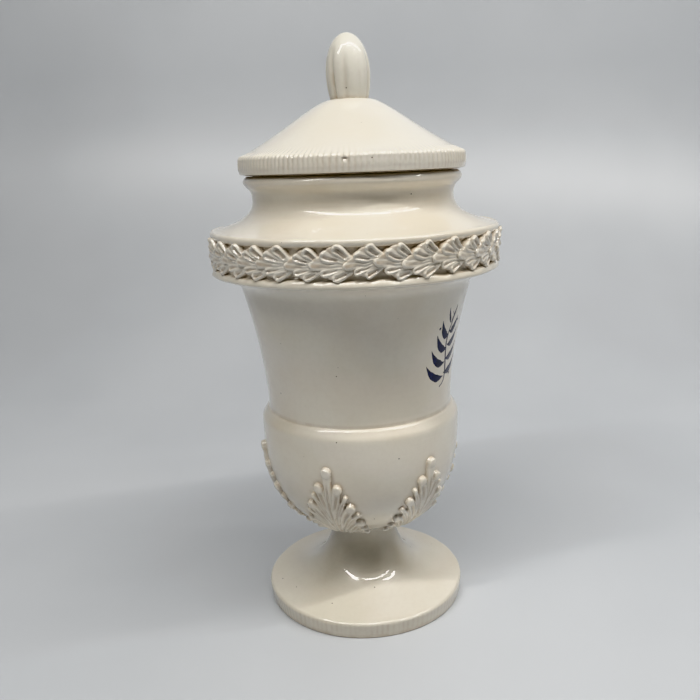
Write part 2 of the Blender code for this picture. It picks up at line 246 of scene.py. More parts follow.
def vessel_outside():
    """The outer side, from the mouth's lip down to the seat on the stem."""
    lip = MOUTH_TOP_Z - MOUTH_LIP_Z
    section = arc((MOUTH_LIP_R - lip, MOUTH_LIP_Z), lip, 90, -50, 14)
    section += curve((MOUTH_LIP_R - 1.2, MOUTH_LIP_Z - 2.4), (53.6, 227.4),
                     (NECK_R, 226.6), (NECK_R, NECK_Z), 0.6)
    section += curve((NECK_R, NECK_Z), (NECK_R, 214.5), (57.5, 211.2), SHOULDER_END)
    section += curve(SHOULDER_END, (71.6, 207.3), (72.2, 207.3), (72.8, 207.1), 0.5)
    section += arc((SHOULDER_LIP_R - EAVE_ROUND, SHOULDER_LIP_Z), EAVE_ROUND, 74, -48, 14)
    section += curve((73.1, 203.9), (72.4, 203.4),
                     (BAND_WALL_R, 203.6), (BAND_WALL_R, BAND_WALL_TOP_Z), 0.3)
    section += line((BAND_WALL_R, BAND_WALL_TOP_Z), (BAND_WALL_R, BAND_WALL_LOW_Z + 1.6))
    section += arc((BAND_LOWER_RIM_R - SILL_ROUND, BAND_LOWER_RIM_Z - 0.3), SILL_ROUND, 84, -8, 12)
    section += curve((73.7, 185.9), (73.2, 185.3), (72.6, 185.3), SILL_FOOT, 0.3)
    section += curve(SILL_FOOT, (66.5, 184.9), (61.2, 182.3), (BELL_TOP_R, BELL_TOP_Z))
    section += curve((BELL_TOP_R, BELL_TOP_Z), (55.5, 161.0), (49.9, 140.0), (BELL_FOOT_R, BELL_FOOT_Z))
    section += curve((BELL_FOOT_R, BELL_FOOT_Z), (49.4, 114.0), (49.3, 112.9), BOWL_STEP_INNER, 0.3)
    section += curve(BOWL_STEP_INNER, (50.5, 112.3), (50.9, 111.6), BOWL_STEP_OUTER, 0.3)
    section += curve(BOWL_STEP_OUTER, (52.8, 108.9), (BOWL_R, 108.1), (BOWL_R, BOWL_CENTRE_Z + 0.4), 0.6)
    section += bowl_curve(0.0, bowl_turn(BOWL_SEAT_Z), BOWL_R, BOWL_DEPTH, OUTER_STEP)
    return section + [[0.0, BOWL_SEAT_Z]]


def lid_section():
    inner_r = FLANGE_R - FLANGE_THICKNESS
    section = [[0.0, LID_SEAT_Z]] + line((2.0, LID_SEAT_Z), (LID_SEAT_R - 1.0, LID_SEAT_Z), 3.0)
    section += curve((LID_SEAT_R - 1.0, LID_SEAT_Z), (18.0, 268.4), (30.0, 256.5), (54.3, 243.4), 2.0)
    section += arc((LID_EDGE_R - 2.4, LID_RIM_HIGH_Z), 2.4, 80, 0, 9)
    section += line((LID_EDGE_R, LID_RIM_HIGH_Z - 0.4), (LID_EDGE_R - 0.2, LID_RIM_LOW_Z + 1.6), 0.7)
    section += arc((LID_EDGE_R - 1.1, LID_RIM_LOW_Z + 0.8), 0.8, 20, -90, 6)
    section += curve((LID_EDGE_R - 1.4, LID_RIM_LOW_Z), (55.0, LID_RIM_LOW_Z),
                     (54.8, LID_BEARING_Z), (LID_BEARING_R, LID_BEARING_Z), 0.4)
    section += line((LID_BEARING_R, LID_BEARING_Z), (FLANGE_R + 0.5, LID_BEARING_Z), 3.0)
    section += arc((FLANGE_R + 0.5, LID_BEARING_Z - 0.5), 0.5, 90, 180, 4)
    section += line((FLANGE_R, LID_BEARING_Z - 0.8), (FLANGE_R, FLANGE_LOW_Z + 1.4), 3.0)
    section += arc((FLANGE_R - 1.2, FLANGE_LOW_Z + 1.2), 1.2, 0, -80, 6)
    section += arc((inner_r + 1.2, FLANGE_LOW_Z + 1.2), 1.2, 260, 180, 6)
    section += line((inner_r, FLANGE_LOW_Z + 1.8), (inner_r, FLANGE_INNER_TOP_Z), 3.0)
    section += curve((inner_r, FLANGE_INNER_TOP_Z), (inner_r, 243.5),
                     (38.0, 247.0), LID_HOLLOW_JOIN, INNER_STEP)
    section += curve(LID_HOLLOW_JOIN, (18.0, 259.0),
                     (12.0, LID_CEILING_Z), (0.5, LID_CEILING_Z), INNER_STEP)
    return section + [[0.0, LID_CEILING_Z]]


# ---------------------------------------------------------------- meshes

def ripple(angle, height, seed, scale=1.0):
    """A smooth, closed unevenness round the axis, between about -1 and 1."""
    waves = np.random.default_rng(seed)
    total = np.zeros(np.broadcast(angle, height).shape)
    for turns in (1, 2, 3, 5, 7, 11):
        phase, rise, weight = waves.uniform(0, 2 * pi), waves.uniform(0.02, 0.12), 1 / turns ** 0.5
        total = total + weight * np.sin(turns * scale * angle + phase + rise * height)
    return total / 2.2


def make_piece(name, points_mm, faces, material, marks=None):
    """A smooth mesh object from millimetre points, with point attributes for its material."""
    mesh = bpy.data.meshes.new(name)
    mesh.from_pydata((np.asarray(points_mm) * MM).tolist(), [], faces)
    for label, values in (marks or {}).items():
        layer = mesh.attributes.new(label, "FLOAT", "POINT")
        layer.data.foreach_set("value", np.asarray(values, np.float32))
    mesh.materials.append(material)
    mesh.shade_smooth()
    piece = bpy.data.objects.new(name, mesh)
    bpy.context.scene.collection.objects.link(piece)
    return piece


def revolve(name, section, segments, material, shape=None, marks=None):
    """A solid of revolution. shape moves its rings in and up; marks gives its attributes."""
    section = np.array(section, float)
    keep = np.concatenate([[True], np.linalg.norm(np.diff(section, axis=0), axis=1) > 0.02])
    section = section[keep]
    angle = np.linspace(0, 2 * pi, segments, endpoint=False)[None, :]
    r = np.repeat(section[1:-1, :1], segments, axis=1)
    z = np.repeat(section[1:-1, 1:], segments, axis=1)
    angle = np.repeat(angle, len(r), axis=0)
    layers = marks(angle, r, z) if marks else {}
    if shape:
        inward, upward = shape(angle, r, z)
        r, z = r + inward, z + upward
    rings = np.stack([r * np.cos(angle), r * np.sin(angle), z], -1).reshape(-1, 3)
    points = np.concatenate([rings, [[0, 0, section[0, 1]], [0, 0, section[-1, 1]]]])
    count = len(r)
    here = np.arange(segments)
    after = (here + 1) % segments
    faces = []
    for row in range(count - 1):
        a, b = row * segments, (row + 1) * segments
        faces += np.stack([a + here, b + here, b + after, a + after], 1).tolist()
    top, bottom = count * segments, count * segments + 1
    last = (count - 1) * segments
    faces += np.stack([np.full(segments, top), here, after], 1).tolist()
    faces += np.stack([np.full(segments, bottom), last + after, last + here], 1).tolist()
    flat = {label: np.concatenate([values.reshape(-1), [0, 0]]) for label, values in layers.items()}
    return make_piece(name, points, faces, material, flat)


def window(value, low, high, soft):
    """1 between low and high, falling smoothly to 0 over soft on either side."""
    up = np.clip((value - low) / soft + 1, 0, 1)
    down = np.clip((high - value) / soft + 1, 0, 1)
    return (up * up * (3 - 2 * up)) * (down * down * (3 - 2 * down))


def notches(angle, count, seed):
    """Narrow irregular grooves pressed into a rim: 1 in a groove, 0 between grooves."""
    drift = ripple(angle, 0 * angle, seed, 3.0)
    groove = (0.5 + 0.5 * np.cos(count * angle + 2.4 * drift)) ** 2.2
    depth = np.clip(0.62 + 0.38 * ripple(angle, 0 * angle, seed + 1, 5.0), 0.1, 1.1)
    return groove * depth


# ---------------------------------------------------------------- relief leaves

class Lobe:
    """A leaf's lobe: a curved spine from its root to its tip, widening on the way."""

    def __init__(self, root, bend, tip, root_r, tip_r, height, slot=0.5, swell=0.6, stations=26):
        t = np.linspace(0, 1, stations)[:, None]
        root, bend, tip = (np.array(p, float) for p in (root, bend, tip))
        self.spine = (1 - t) ** 2 * root + 2 * t * (1 - t) * bend + t * t * tip
        self.radii = root_r + (tip_r - root_r) * t[:, 0] ** swell
        self.height = height
        self.slot = slot
        self.share = t[:, 0]

    def measure(self, x, y):
        """For each point: depth inside the outline, distance to the spine as a share of the
        lobe's radius there, and the share of the way along the spine."""
        gap = np.hypot(x[..., None] - self.spine[:, 0], y[..., None] - self.spine[:, 1])
        nearest = (gap - self.radii).argmin(-1)
        inside = (self.radii - gap).max(-1)
        return inside, gap.min(-1) / self.radii[nearest], self.share[nearest]


def rounded(depth, width):
    """Rise of a rounded edge: 0 at the outline, 1 once width inside it."""
    left = 1 - np.clip(depth / width, 0, 1)
    return np.sqrt(np.maximum(1 - left * left, 0))


def lobe_relief(lobes, x, y, edge, slot_width, slot_from, slot_to, bead=0.0):
    """Height of pressed lobes over their ground, and a share, 0 to 1, of glaze stain and painted shade that
    follows how deep their slots are and lies along their outlines.

    A lobe is a fat rounded finger with a slot along its spine between two shares of its way,
    and a bead of its own at the tip.
    """
    height = np.full(x.shape, FAR_OUTSIDE)
    pool = np.zeros(x.shape)
    body = np.full(x.shape, FAR_OUTSIDE)
    for lobe in lobes:
        inside, off_spine, share = lobe.measure(x, y)
        slot = np.exp(-(off_spine / slot_width) ** 4) * window(share, slot_from, slot_to, 0.16)
        from_tip = np.hypot(x - lobe.spine[-1, 0], y - lobe.spine[-1, 1]) / lobe.radii[-1]
        ball = bead * lobe.height * np.sqrt(np.maximum(1 - from_tip ** 2, 0))
        own = lobe.height * rounded(inside, edge) * (1 - lobe.slot * slot) + ball
        better = own > height
        height = np.where(better, own, height)
        # Glaze stain and painted shade in the lobe's slot and along its outline, where the lobe drops to its
        # ground
        pool = np.where(better, np.clip(slot + 0.9 * (inside < 0.3), 0, 1), pool)
        body = np.maximum(body, inside)
    return height, pool, body


def close_patch(piece):
    """Turns an open relief patch into a closed solid with one face behind it."""
    work = bmesh.new()
    work.from_mesh(piece.data)
    loose = [v for v in work.verts if not v.link_faces]
    bmesh.ops.delete(work, geom=loose, context="VERTS")
    border = [edge for edge in work.edges if edge.is_boundary]
    bmesh.ops.holes_fill(work, edges=border, sides=0)
    bmesh.ops.recalc_face_normals(work, faces=work.faces)
    work.to_mesh(piece.data)
    work.free()
    piece.data.shade_smooth()


def relief_piece(name, x, y, place, height, body, pool, material, floor):
    """A leaf from its relief on a grid: sides drop to floor at the outline, the rest is cut off."""
    edge = rounded(body, 0.5)
    lift = floor + (height - floor) * edge
    points = place(x, y, lift).reshape(-1, 3)
    rows, columns = x.shape
    index = np.arange(rows * columns).reshape(rows, columns)
    quads = np.stack([index[:-1, :-1], index[:-1, 1:], index[1:, 1:], index[1:, :-1]], -1).reshape(-1, 4)
    kept = (body.reshape(-1)[quads] > -0.05).any(1)
    piece = make_piece(name, points, quads[kept].tolist(), material, {"pool": pool.reshape(-1)})
    close_patch(piece)
    return piece


# ---------------------------------------------------------------- materials

class Nodes:
    """Short calls for building one material's node tree in Object coordinates."""

    def __init__(self, name):
        self.material = bpy.data.materials.new(name)
        self.material.use_nodes = True
        self.tree = self.material.node_tree
        self.shader = self.tree.nodes["Principled BSDF"]
        self.place = self.tree.nodes.new("ShaderNodeTexCoord").outputs["Object"]

    def link(self, source, target):
        self.tree.links.new(source, target)

    def scaled(self, x, y, z):
        """Object coordinates, stretched."""
        node = self.tree.nodes.new("ShaderNodeMapping")
        node.inputs["Scale"].default_value = (x, y, z)
        self.link(self.place, node.inputs["Vector"])
        return node.outputs["Vector"]

    def noise(self, scale, detail=3.0, roughness=0.5, place=None):
        node = self.tree.nodes.new("ShaderNodeTexNoise")
        node.inputs["Scale"].default_value = scale
        node.inputs["Detail"].default_value = detail
        node.inputs["Roughness"].default_value = roughness
        self.link(place or self.place, node.inputs["Vector"])
        return node.outputs["Fac"]

    def cells(self, scale):
        """Distance to the nearest of scattered points, and a random value for each point."""
        node = self.tree.nodes.new("ShaderNodeTexVoronoi")
        node.inputs["Scale"].default_value = scale
        self.link(self.place, node.inputs["Vector"])
        split = self.tree.nodes.new("ShaderNodeSeparateColor")
        self.link(node.outputs["Color"], split.inputs["Color"])
        return node.outputs["Distance"], split.outputs["Red"]

    def attribute(self, name):
        node = self.tree.nodes.new("ShaderNodeAttribute")
        node.attribute_name = name
        return node.outputs["Fac"]

    def ramp(self, value, low, high, out_low=0.0, out_high=1.0):
        """A smooth step of value from low to high."""
        node = self.tree.nodes.new("ShaderNodeMapRange")
        node.interpolation_type = "SMOOTHSTEP"
        limits = {"From Min": low, "From Max": high, "To Min": out_low, "To Max": out_high}
        for label, number in limits.items():
            node.inputs[label].default_value = number
        self.link(value, node.inputs["Value"])
        return node.outputs["Result"]

    def combine(self, operation, a, b):
        """One maths node on two values or sockets."""
        node = self.tree.nodes.new("ShaderNodeMath")
        node.operation = operation
        for socket, value in zip(node.inputs, (a, b)):
            if isinstance(value, (int, float)):
                socket.default_value = value
            else:
                self.link(value, socket)
        return node.outputs["Value"]

    def mix(self, share, a, b):
        """Colour b over colour a by share."""
        node = self.tree.nodes.new("ShaderNodeMix")
        node.data_type = "RGBA"
        self.link(share, node.inputs["Factor"])
        for socket, value in ((node.inputs["A"], a), (node.inputs["B"], b)):
            if isinstance(value, tuple):
                socket.default_value = value + (1.0,)
            else:
                self.link(value, socket)
        return node.outputs["Result"]

    def bump(self, height, distance, before=None):
        node = self.tree.nodes.new("ShaderNodeBump")
        node.inputs["Distance"].default_value = distance
        self.link(height, node.inputs["Height"])
        if before:
            self.link(before, node.inputs["Normal"])
        return node.outputs["Normal"]


CREAM = (0.775, 0.725, 0.625)
WARM_CREAM = (0.745, 0.68, 0.565)
COOL_CREAM = (0.755, 0.72, 0.645)
# Brown of pooled glaze, also used as painted shade in hollows, creases and recesses
STAIN_AND_SHADE = (0.34, 0.205, 0.085)
PINHOLE = (0.075, 0.045, 0.025)
# Near-black painted shadow for the gap between the lid's rim and the mouth
GAP_SHADOW = (0.02, 0.014, 0.010)

# Main colour and warm clouds of each glaze that differs from the vessel's
FOOT_TONES = ((0.70, 0.655, 0.555), (0.68, 0.625, 0.515))
LID_TONES = ((0.80, 0.76, 0.675), (0.78, 0.73, 0.63))
FINIAL_TONES = ((0.78, 0.755, 0.675), (0.75, 0.715, 0.61))
LEAF_TONES = ((0.79, 0.745, 0.66), (0.76, 0.70, 0.59))


def glaze(name, base=CREAM, warm=WARM_CREAM, stain_and_shade_share=0.75, rings=True, roughness=0.30):
    """Cream lead glaze: soft tone clouds, brown glaze stain mixed with painted shade, pinholes and faint
    ripples.

    The mesh's attribute for stain and painted shade is 0 on clean glaze and 1 where the glaze pooled brown
    and where shade is painted into hollows and creases; past 1 it is a painted near-black shadow in a gap.
    """
    n = Nodes(name)
    clouds = n.ramp(n.noise(26.0, 3.0), 0.38, 0.66)
    colour = n.mix(clouds, base, warm)
    cool = n.ramp(n.noise(14.0, 2.0), 0.52, 0.72, 0.0, 0.7)
    colour = n.mix(cool, colour, COOL_CREAM)
    mottle = n.ramp(n.noise(420.0, 4.0, 0.6), 0.35, 0.75, 0.0, 0.16)
    colour = n.mix(mottle, colour, tuple(0.86 * c for c in warm))
    # Brown stain of pooled glaze mixed with painted shade in hollows, creases and recesses, from the mesh's
    # attribute, in patches
    patch = n.ramp(n.noise(170.0, 4.0, 0.6), 0.34, 0.62, 0.35, 1.0)
    stain_and_shade_amount = n.combine("MULTIPLY", n.combine("MULTIPLY", n.attribute("pool"), patch), stain_and_shade_share)
    colour = n.mix(stain_and_shade_amount, colour, STAIN_AND_SHADE)
    # Painted near-black shadow where the attribute passes 1.1: the gap under the lid's rim
    colour = n.mix(n.ramp(n.attribute("pool"), 1.1, 1.9), colour, GAP_SHADOW)
    far, chance = n.cells(110.0)
    dots = n.combine("MULTIPLY", n.ramp(far, 0.022, 0.045, 1.0, 0.0), n.ramp(chance, 0.40, 0.42))
    near, odds = n.cells(210.0)
    specks = n.combine("MULTIPLY", n.ramp(near, 0.02, 0.05, 0.8, 0.0), n.ramp(odds, 0.90, 0.91))
    colour = n.mix(n.combine("MAXIMUM", dots, specks), colour, PINHOLE)
    n.link(colour, n.shader.inputs["Base Color"])
    rough = n.ramp(n.noise(60.0, 3.0), 0.3, 0.7, roughness, 1.5 * roughness)
    n.link(n.combine("MAXIMUM", rough, n.combine("MULTIPLY", stain_and_shade_amount, 0.35)), n.shader.inputs["Roughness"])
    n.shader.inputs["IOR"].default_value = 1.50
    n.shader.inputs["Coat Weight"].default_value = 1.0
    n.shader.inputs["Coat Roughness"].default_value = 0.035
    n.shader.inputs["Coat IOR"].default_value = 1.62
    skin = n.bump(n.noise(45.0, 2.0), 0.00008)
    if rings:
        skin = n.bump(n.noise(1.0, 3.0, 0.55, n.scaled(18.0, 18.0, 330.0)), 0.00010, skin)
    skin = n.bump(n.combine("MULTIPLY", dots, -1.0), 0.0002, skin)
    n.link(skin, n.shader.inputs["Normal"])
    n.link(skin, n.shader.inputs["Coat Normal"])
    return n.material


def bare_clay(name):
    """Unglazed biscuit on the ring that the jar stands on and where the lid bears."""
    n = Nodes(name)
    tone = n.ramp(n.noise(90.0, 5.0, 0.6), 0.3, 0.7)
    colour = n.mix(tone, (0.60, 0.47, 0.33), (0.70, 0.59, 0.45))
    grain = n.noise(1400.0, 3.0, 0.7)
    colour = n.mix(n.ramp(grain, 0.62, 0.72, 0.0, 0.5), colour, (0.30, 0.21, 0.14))
    n.link(colour, n.shader.inputs["Base Color"])
    n.shader.inputs["Roughness"].default_value = 0.88
    n.link(n.bump(grain, 0.0003), n.shader.inputs["Normal"])
    return n.material


def cobalt(name):
    """Cobalt blue under the glaze, thin and streaky along the brush's edges."""
    n = Nodes(name)
    wash = n.ramp(n.noise(260.0, 4.0, 0.6), 0.3, 0.72)
    colour = n.mix(wash, (0.006, 0.008, 0.035), (0.018, 0.022, 0.085))
    worn = n.ramp(n.noise(900.0, 3.0, 0.7), 0.66, 0.8, 0.0, 0.5)
    colour = n.mix(worn, colour, (0.33, 0.34, 0.42))
    n.link(colour, n.shader.inputs["Base Color"])
    n.shader.inputs["Roughness"].default_value = 0.16
    n.link(n.bump(n.noise(120.0, 2.0), 0.00022), n.shader.inputs["Normal"])
    return n.material


vessel_glaze = glaze("vessel_glaze")
foot_glaze = glaze("foot_glaze", *FOOT_TONES)
lid_glaze = glaze("lid_glaze", *LID_TONES)
finial_glaze = glaze("finial_glaze", *FINIAL_TONES, stain_and_shade_share=0.6, rings=False)
garland_glaze = glaze("garland_glaze", *LEAF_TONES, stain_and_shade_share=0.45, rings=False)
acanthus_glaze = glaze("acanthus_glaze", *LEAF_TONES, stain_and_shade_share=0.45, rings=False)
biscuit = bare_clay("biscuit")
blue = cobalt("cobalt_blue")


def biscuit_faces(piece, is_bare):
    """Gives the faces whose middle (r, z in mm) is_bare accepts the unglazed material."""
    piece.data.materials.append(biscuit)
    for face in piece.data.polygons:
        x, y, z = face.center / MM
        if is_bare((x * x + y * y) ** 0.5, z, face.normal.z):
            face.material_index = 1


# ---------------------------------------------------------------- the wall that leaves lie on

def wall_wobble(angle, z):
    """How far the thrown wall strays outward from its section, in mm."""
    return 0.16 * ripple(angle, z, 11) + 0.010 * np.sin(2.1 * z + 1.5 * np.sin(angle + 0.04 * z))


def vessel_shape(angle, r, z):
    out = wall_wobble(angle, z)
    sill = window(z, *SILL_ZONE) * (r > SILL_INNER_R)
    out = out + sill * (0.25 * ripple(angle, 0 * z, 21, 4.0) + 0.2 * ripple(angle, 0 * z, 22, 9.0))
    up = window(z, *SILL_TOP_ZONE) * (r > SILL_INNER_R) * (0.55 * ripple(angle, 0 * z, 23, 8.0))
    lip = window(z, *MOUTH_ZONE) * (r > MOUTH_LIP_INNER_R)
    up = up + lip * (0.12 * ripple(angle, 0 * z, 24, 2.0) - 0.1)
    eave = window(z, *EAVE_ZONE) * (r > EAVE_INNER_R)
    out = out + eave * (0.22 * ripple(angle, 0 * z, 25, 3.0))
    up = up + eave * (0.22 * ripple(angle, 0 * z, 26, 3.0))
    return out, up


def azimuth_of(angle):
    """Degrees round the jar from the front, growing towards +X."""
    return np.degrees(angle) + 90.0


# ---------------------------------------------------------------- garland leaf

GARLAND_LOBES = [
    Lobe((5.5, -0.2), (-1.0, -0.4), (-7.7, 0.0), 1.6, 2.25, 1.45, 0.16),
    Lobe((6.8, 0.7), (1.6, 1.7), (-2.6, 3.8), 1.1, 2.6, 1.75, 0.3),
    Lobe((9.0, 1.2), (6.0, 3.1), (2.5, 6.3), 1.0, 2.75, 2.05, 0.62),
    Lobe((6.5, -1.2), (1.5, -1.6), (-2.9, -3.1), 1.0, 2.3, 1.45, 0.34),
    Lobe((8.8, -2.2), (5.6, -3.6), (2.0, -5.1), 1.0, 2.5, 1.75, 0.62),
]
GARLAND_WEB = [
    Lobe((7.0, 0.0), (1.0, 0.4), (-5.2, 0.7), 4.4, 3.2, 1.0),
    Lobe((7.0, 1.5), (4.0, 2.6), (0.2, 4.2), 2.8, 3.7, 1.0),
    Lobe((7.0, -1.5), (4.0, -2.4), (0.2, -3.1), 2.6, 3.2, 1.0),
]
GARLAND_PITCH_DEG = 360.0 / GARLAND_COUNT


def build_garland_leaf(number):
    """One pressed leaf of the band, its tip lying over the root of the one before it."""
    chance = np.random.default_rng(GARLAND_SEED + number)
    x, y = np.meshgrid(np.arange(-11.0, 10.6, GARLAND_GRID), np.arange(-8.0, 9.7, GARLAND_GRID))
    swell = 1.0 + 0.05 * chance.normal()
    skew = 0.05 * chance.normal()
    waver = 0.22 * np.sin(0.75 * x + chance.uniform(0, 6)) * np.cos(0.6 * y + chance.uniform(0, 6))
    u, v = (x + waver) / swell, (y + skew * x + 0.6 * waver) / swell
    height, pool, body = lobe_relief(GARLAND_LOBES, u, v, 1.4, 0.36, 0.55, 1.2)
    web_inside = np.max([lobe.measure(u, v)[0] for lobe in GARLAND_WEB], axis=0)
    web = 1.2 * rounded(web_inside, 1.6)
    veins = 0.17 * np.cos(44.0 * np.arctan2(v, 12.0 - u) + 0.5 * np.sin(u + number))
    relief = np.maximum(height, web) * (1.0 + 0.07 * chance.normal())
    relief = relief + veins * window(body, 0.9, 9.0, 0.7) * np.clip((9.0 - u) / 8, 0, 1)
    ground = 0.25 + 1.75 * np.clip((7.0 - u) / 17.5, 0, 1.1)
    ground = ground + np.where(v > 0, 0.9, 0.3) * np.clip(np.abs(v) / 8.0, 0, 1) ** 1.5
    body = np.maximum(body, web_inside)
    turn = GARLAND_FIRST_DEG + GARLAND_PITCH_DEG * (number - 1) + 0.35 * chance.normal()
    lift_z = GARLAND_MID_Z + 0.25 * chance.normal()

    def place(x, y, lift):
        angle = np.radians(turn - 90.0) + x / (BAND_WALL_R + 1.5)
        z = lift_z + y
        r = BAND_WALL_R + wall_wobble(angle, z) + lift
        return np.stack([r * np.cos(angle), r * np.sin(angle), z], -1)

    name = "garland_leaf_%02d" % number
    leaf = relief_piece(name + "_glazed", x, y, place, ground + relief, body, pool, garland_glaze, -0.5)
    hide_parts(name)
    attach(leaf, "jar")


# ---------------------------------------------------------------- acanthus leaf

# each side lobe: tip's distance from the midrib, its distance down from the leaf's tip, tip radius
ACANTHUS_SIDE = (
    (5.0, 12.0, 2.6),
    (8.6, 17.0, 1.6),
    (10.4, 23.2, 2.55),
    (13.1, 28.0, 1.6),
    (13.4, 34.8, 2.3),
    (14.2, 41.0, 1.4),
    (13.6, 47.4, 1.7),
)
ACANTHUS_LENGTH = 60.0
ACANTHUS_PITCH_DEG = 360.0 / ACANTHUS_COUNT


def acanthus_lobes():
    """Lobes in the leaf's plane: x across from the midrib, y down from the leaf's tip."""
    lobes = [Lobe((0.0, 56.0), (0.0, 30.0), (0.0, 2.8), 0.8, 2.7, 1.6, 0.3, 1.6, 60)]
    for side in (-1, 1):
        for across, down, tip_r in ACANTHUS_SIDE:
            root = (side * (0.8 + 0.10 * across), min(down + 17.0 + 0.35 * across, 57.0))
            bend = (side * (0.34 * across + 0.6), down + 9.0)
            lobes.append(Lobe(root, bend, (side * across, down), 0.8, tip_r, 0.6 + 0.38 * tip_r, 0.55, 0.9))
    return lobes


ACANTHUS_LOBES = acanthus_lobes()
bowl_turns = np.linspace(bowl_turn(ACANTHUS_TIP_Z + 3.0), pi / 2 - 0.002, 700)
bowl_r, bowl_z = bowl_point(bowl_turns)
bowl_run = np.concatenate([[0], np.cumsum(np.hypot(np.diff(bowl_r), np.diff(bowl_z)))])
bowl_run = bowl_run - np.interp(-ACANTHUS_TIP_Z, -bowl_z, bowl_run)
slope_r, slope_z = np.gradient(bowl_r), np.gradient(bowl_z)
slope = np.hypot(slope_r, slope_z)
bowl_out_r, bowl_out_z = -slope_z / slope, slope_r / slope


def on_bowl(x, down, lift, turn_deg):
    """A point at x mm across and down mm below the leaf's tip, lift mm proud of the bowl."""
    r = np.interp(down, bowl_run, bowl_r)
    z = np.interp(down, bowl_run, bowl_z)
    angle = radians(turn_deg - 90.0) + x / r
    stray = wall_wobble(angle, z)
    out_r, out_z = np.interp(down, bowl_run, bowl_out_r), np.interp(down, bowl_run, bowl_out_z)
    r = r + stray + lift * out_r
    z = z + lift * out_z
    return np.stack([r * np.cos(angle), r * np.sin(angle), z], -1)


def build_acanthus_leaf(number):
    """A fluted leaf on the bowl, its beads standing proud and its flutes meeting at the stem."""
    chance = np.random.default_rng(ACANTHUS_SEED + number)
    x, y = np.meshgrid(np.arange(-17.0, 17.1, ACANTHUS_GRID), np.arange(-1.6, ACANTHUS_LENGTH, ACANTHUS_GRID))
    waver = 0.20 * np.sin(0.5 * x + chance.uniform(0, 6)) * np.cos(0.33 * y + chance.uniform(0, 6))
    u, v = x + waver, y + waver
    height, pool, body = lobe_relief(ACANTHUS_LOBES, u, v, 1.15, 0.42, 0.42, 0.76, 0.38)
    web_inside = np.minimum(0.45 * (v - 7.0), 12.0) - np.abs(u)
    web_inside = np.minimum(web_inside, 57.0 - v)
    relief = np.maximum(height, 0.7 * rounded(web_inside, 1.5))
    ribs = np.exp(-((np.abs(u) - 0.75) / 0.42) ** 2)
    midrib = 0.5 * ribs * window(v, 12.0, 54.0, 5.0)
    ground = 0.35 * np.clip((ACANTHUS_LENGTH - v) / 12.0, 0, 1)
    fade = np.clip((ACANTHUS_LENGTH - v) / 9.0, 0, 1)
    body = np.maximum(body, web_inside)
    turn = ACANTHUS_FIRST_DEG + ACANTHUS_PITCH_DEG * (number - 1)

    def place(x, y, lift):
        return on_bowl(x, y, lift, turn)

    total = ground + (relief + midrib) * fade
    name = "acanthus_leaf_%d" % number
    leaf = relief_piece(name + "_glazed", x, y, place, total, body, pool, acanthus_glaze, -0.45)
    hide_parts(name)
    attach(leaf, "jar")


def leaf_halo(angle, z):
    """Brown glaze stain mixed with painted shade, running round the leaves of the bowl on the vessel's own
    wall.
    """
    down = np.interp(-z, -bowl_z, bowl_run)
    half_pitch = ACANTHUS_PITCH_DEG / 2
    local = (azimuth_of(angle) - ACANTHUS_FIRST_DEG + half_pitch) % ACANTHUS_PITCH_DEG - half_pitch
    across = np.radians(local) * np.interp(down, bowl_run, bowl_r)
    inside = np.full(z.shape, FAR_OUTSIDE)
    for lobe in ACANTHUS_LOBES:
        inside = np.maximum(inside, lobe.measure(across, down)[0])
    return np.exp(-(np.minimum(inside, 0) / 1.1) ** 2)


# ---------------------------------------------------------------- the turned pieces

def vessel_marks(angle, r, z):
    # Glaze stain mixed with painted shade: on the band's wall behind the leaves, strongest in its top and
    # bottom corners, in the crease at the bowl's step, at the seat on the stem, and round the bowl's leaves
    pool = np.zeros(r.shape)
    band = (r > 70.5) & (z > 187.6) & (z < 204.4)
    corner = 0.10 + 0.45 * np.clip(np.abs(z - GARLAND_MID_Z) / 7.5, 0, 1) ** 4
    pool = np.where(band & (r < 72.9), corner, pool)
    step = window(z, 113.0, 114.0, 0.9) * (r < 50.8) * (r > 48.5)
    pool = np.maximum(pool, 0.30 * step)
    seat = window(z, 44.0, 45.4, 0.9) * (r < 22.0)
    pool = np.maximum(pool, 0.5 * seat)
    low = (z < 96.0) & (r > bowl_point(bowl_turn(np.clip(z, 43.2, 105.0)))[0] - 2.0)
    rows = low.any(1)
    halo = np.zeros(r.shape)
    halo[rows] = leaf_halo(angle[rows], z[rows])
    return {"pool": np.maximum(pool, np.where(low, 0.4 * halo, 0.0))}


def build_vessel():
    piece = revolve("vessel_glazed", vessel_inside() + vessel_outside(), VESSEL_SEGMENTS, vessel_glaze,
                    vessel_shape, vessel_marks)
    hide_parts("vessel")
    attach(piece, "jar")


def foot_shape(angle, r, z):
    side = window(z, 1.0, 8.0, 1.2) * (r > 51.0)
    strength = 0.35 + 0.65 * ripple(angle, 0 * z, 32, 2.0)
    low = 1.15 - 0.75 * np.clip(z / FOOT_EDGE_Z, 0, 1)
    groove = 0.50 * notches(angle, FOOT_NOTCHES, 31) * np.clip(strength, 0.08, 1.0) * low
    edge = window(z, 8.0, 10.0, 1.0) * (r > 50.0)
    out = 0.14 * ripple(angle, z, 33) - side * groove
    out = out + 0.2 * edge * ripple(angle, 0 * z, 34, 4.0)
    up = 0.14 * edge * ripple(angle, 0 * z, 35, 3.0)
    return out * (z > 0.05), up


def foot_marks(angle, r, z):
    # Glaze stain mixed with painted shade in the foot's notches and in the crease at the stem's top under the
    # bowl; stain along its bottom edge
    side = window(z, 1.0, 7.6, 0.8) * (r > 51.0)
    notch_stain_and_shade = side * (0.08 + 0.28 * notches(angle, FOOT_NOTCHES, 31))
    low = window(z, 0.2, 1.6, 0.8) * (r > 50.0)
    stem = window(z, 42.5, 44.6, 1.5) * (r > 12.0) * 0.35
    return {"pool": np.clip(np.maximum(np.maximum(notch_stain_and_shade, 0.45 * low), stem), 0, 1)}


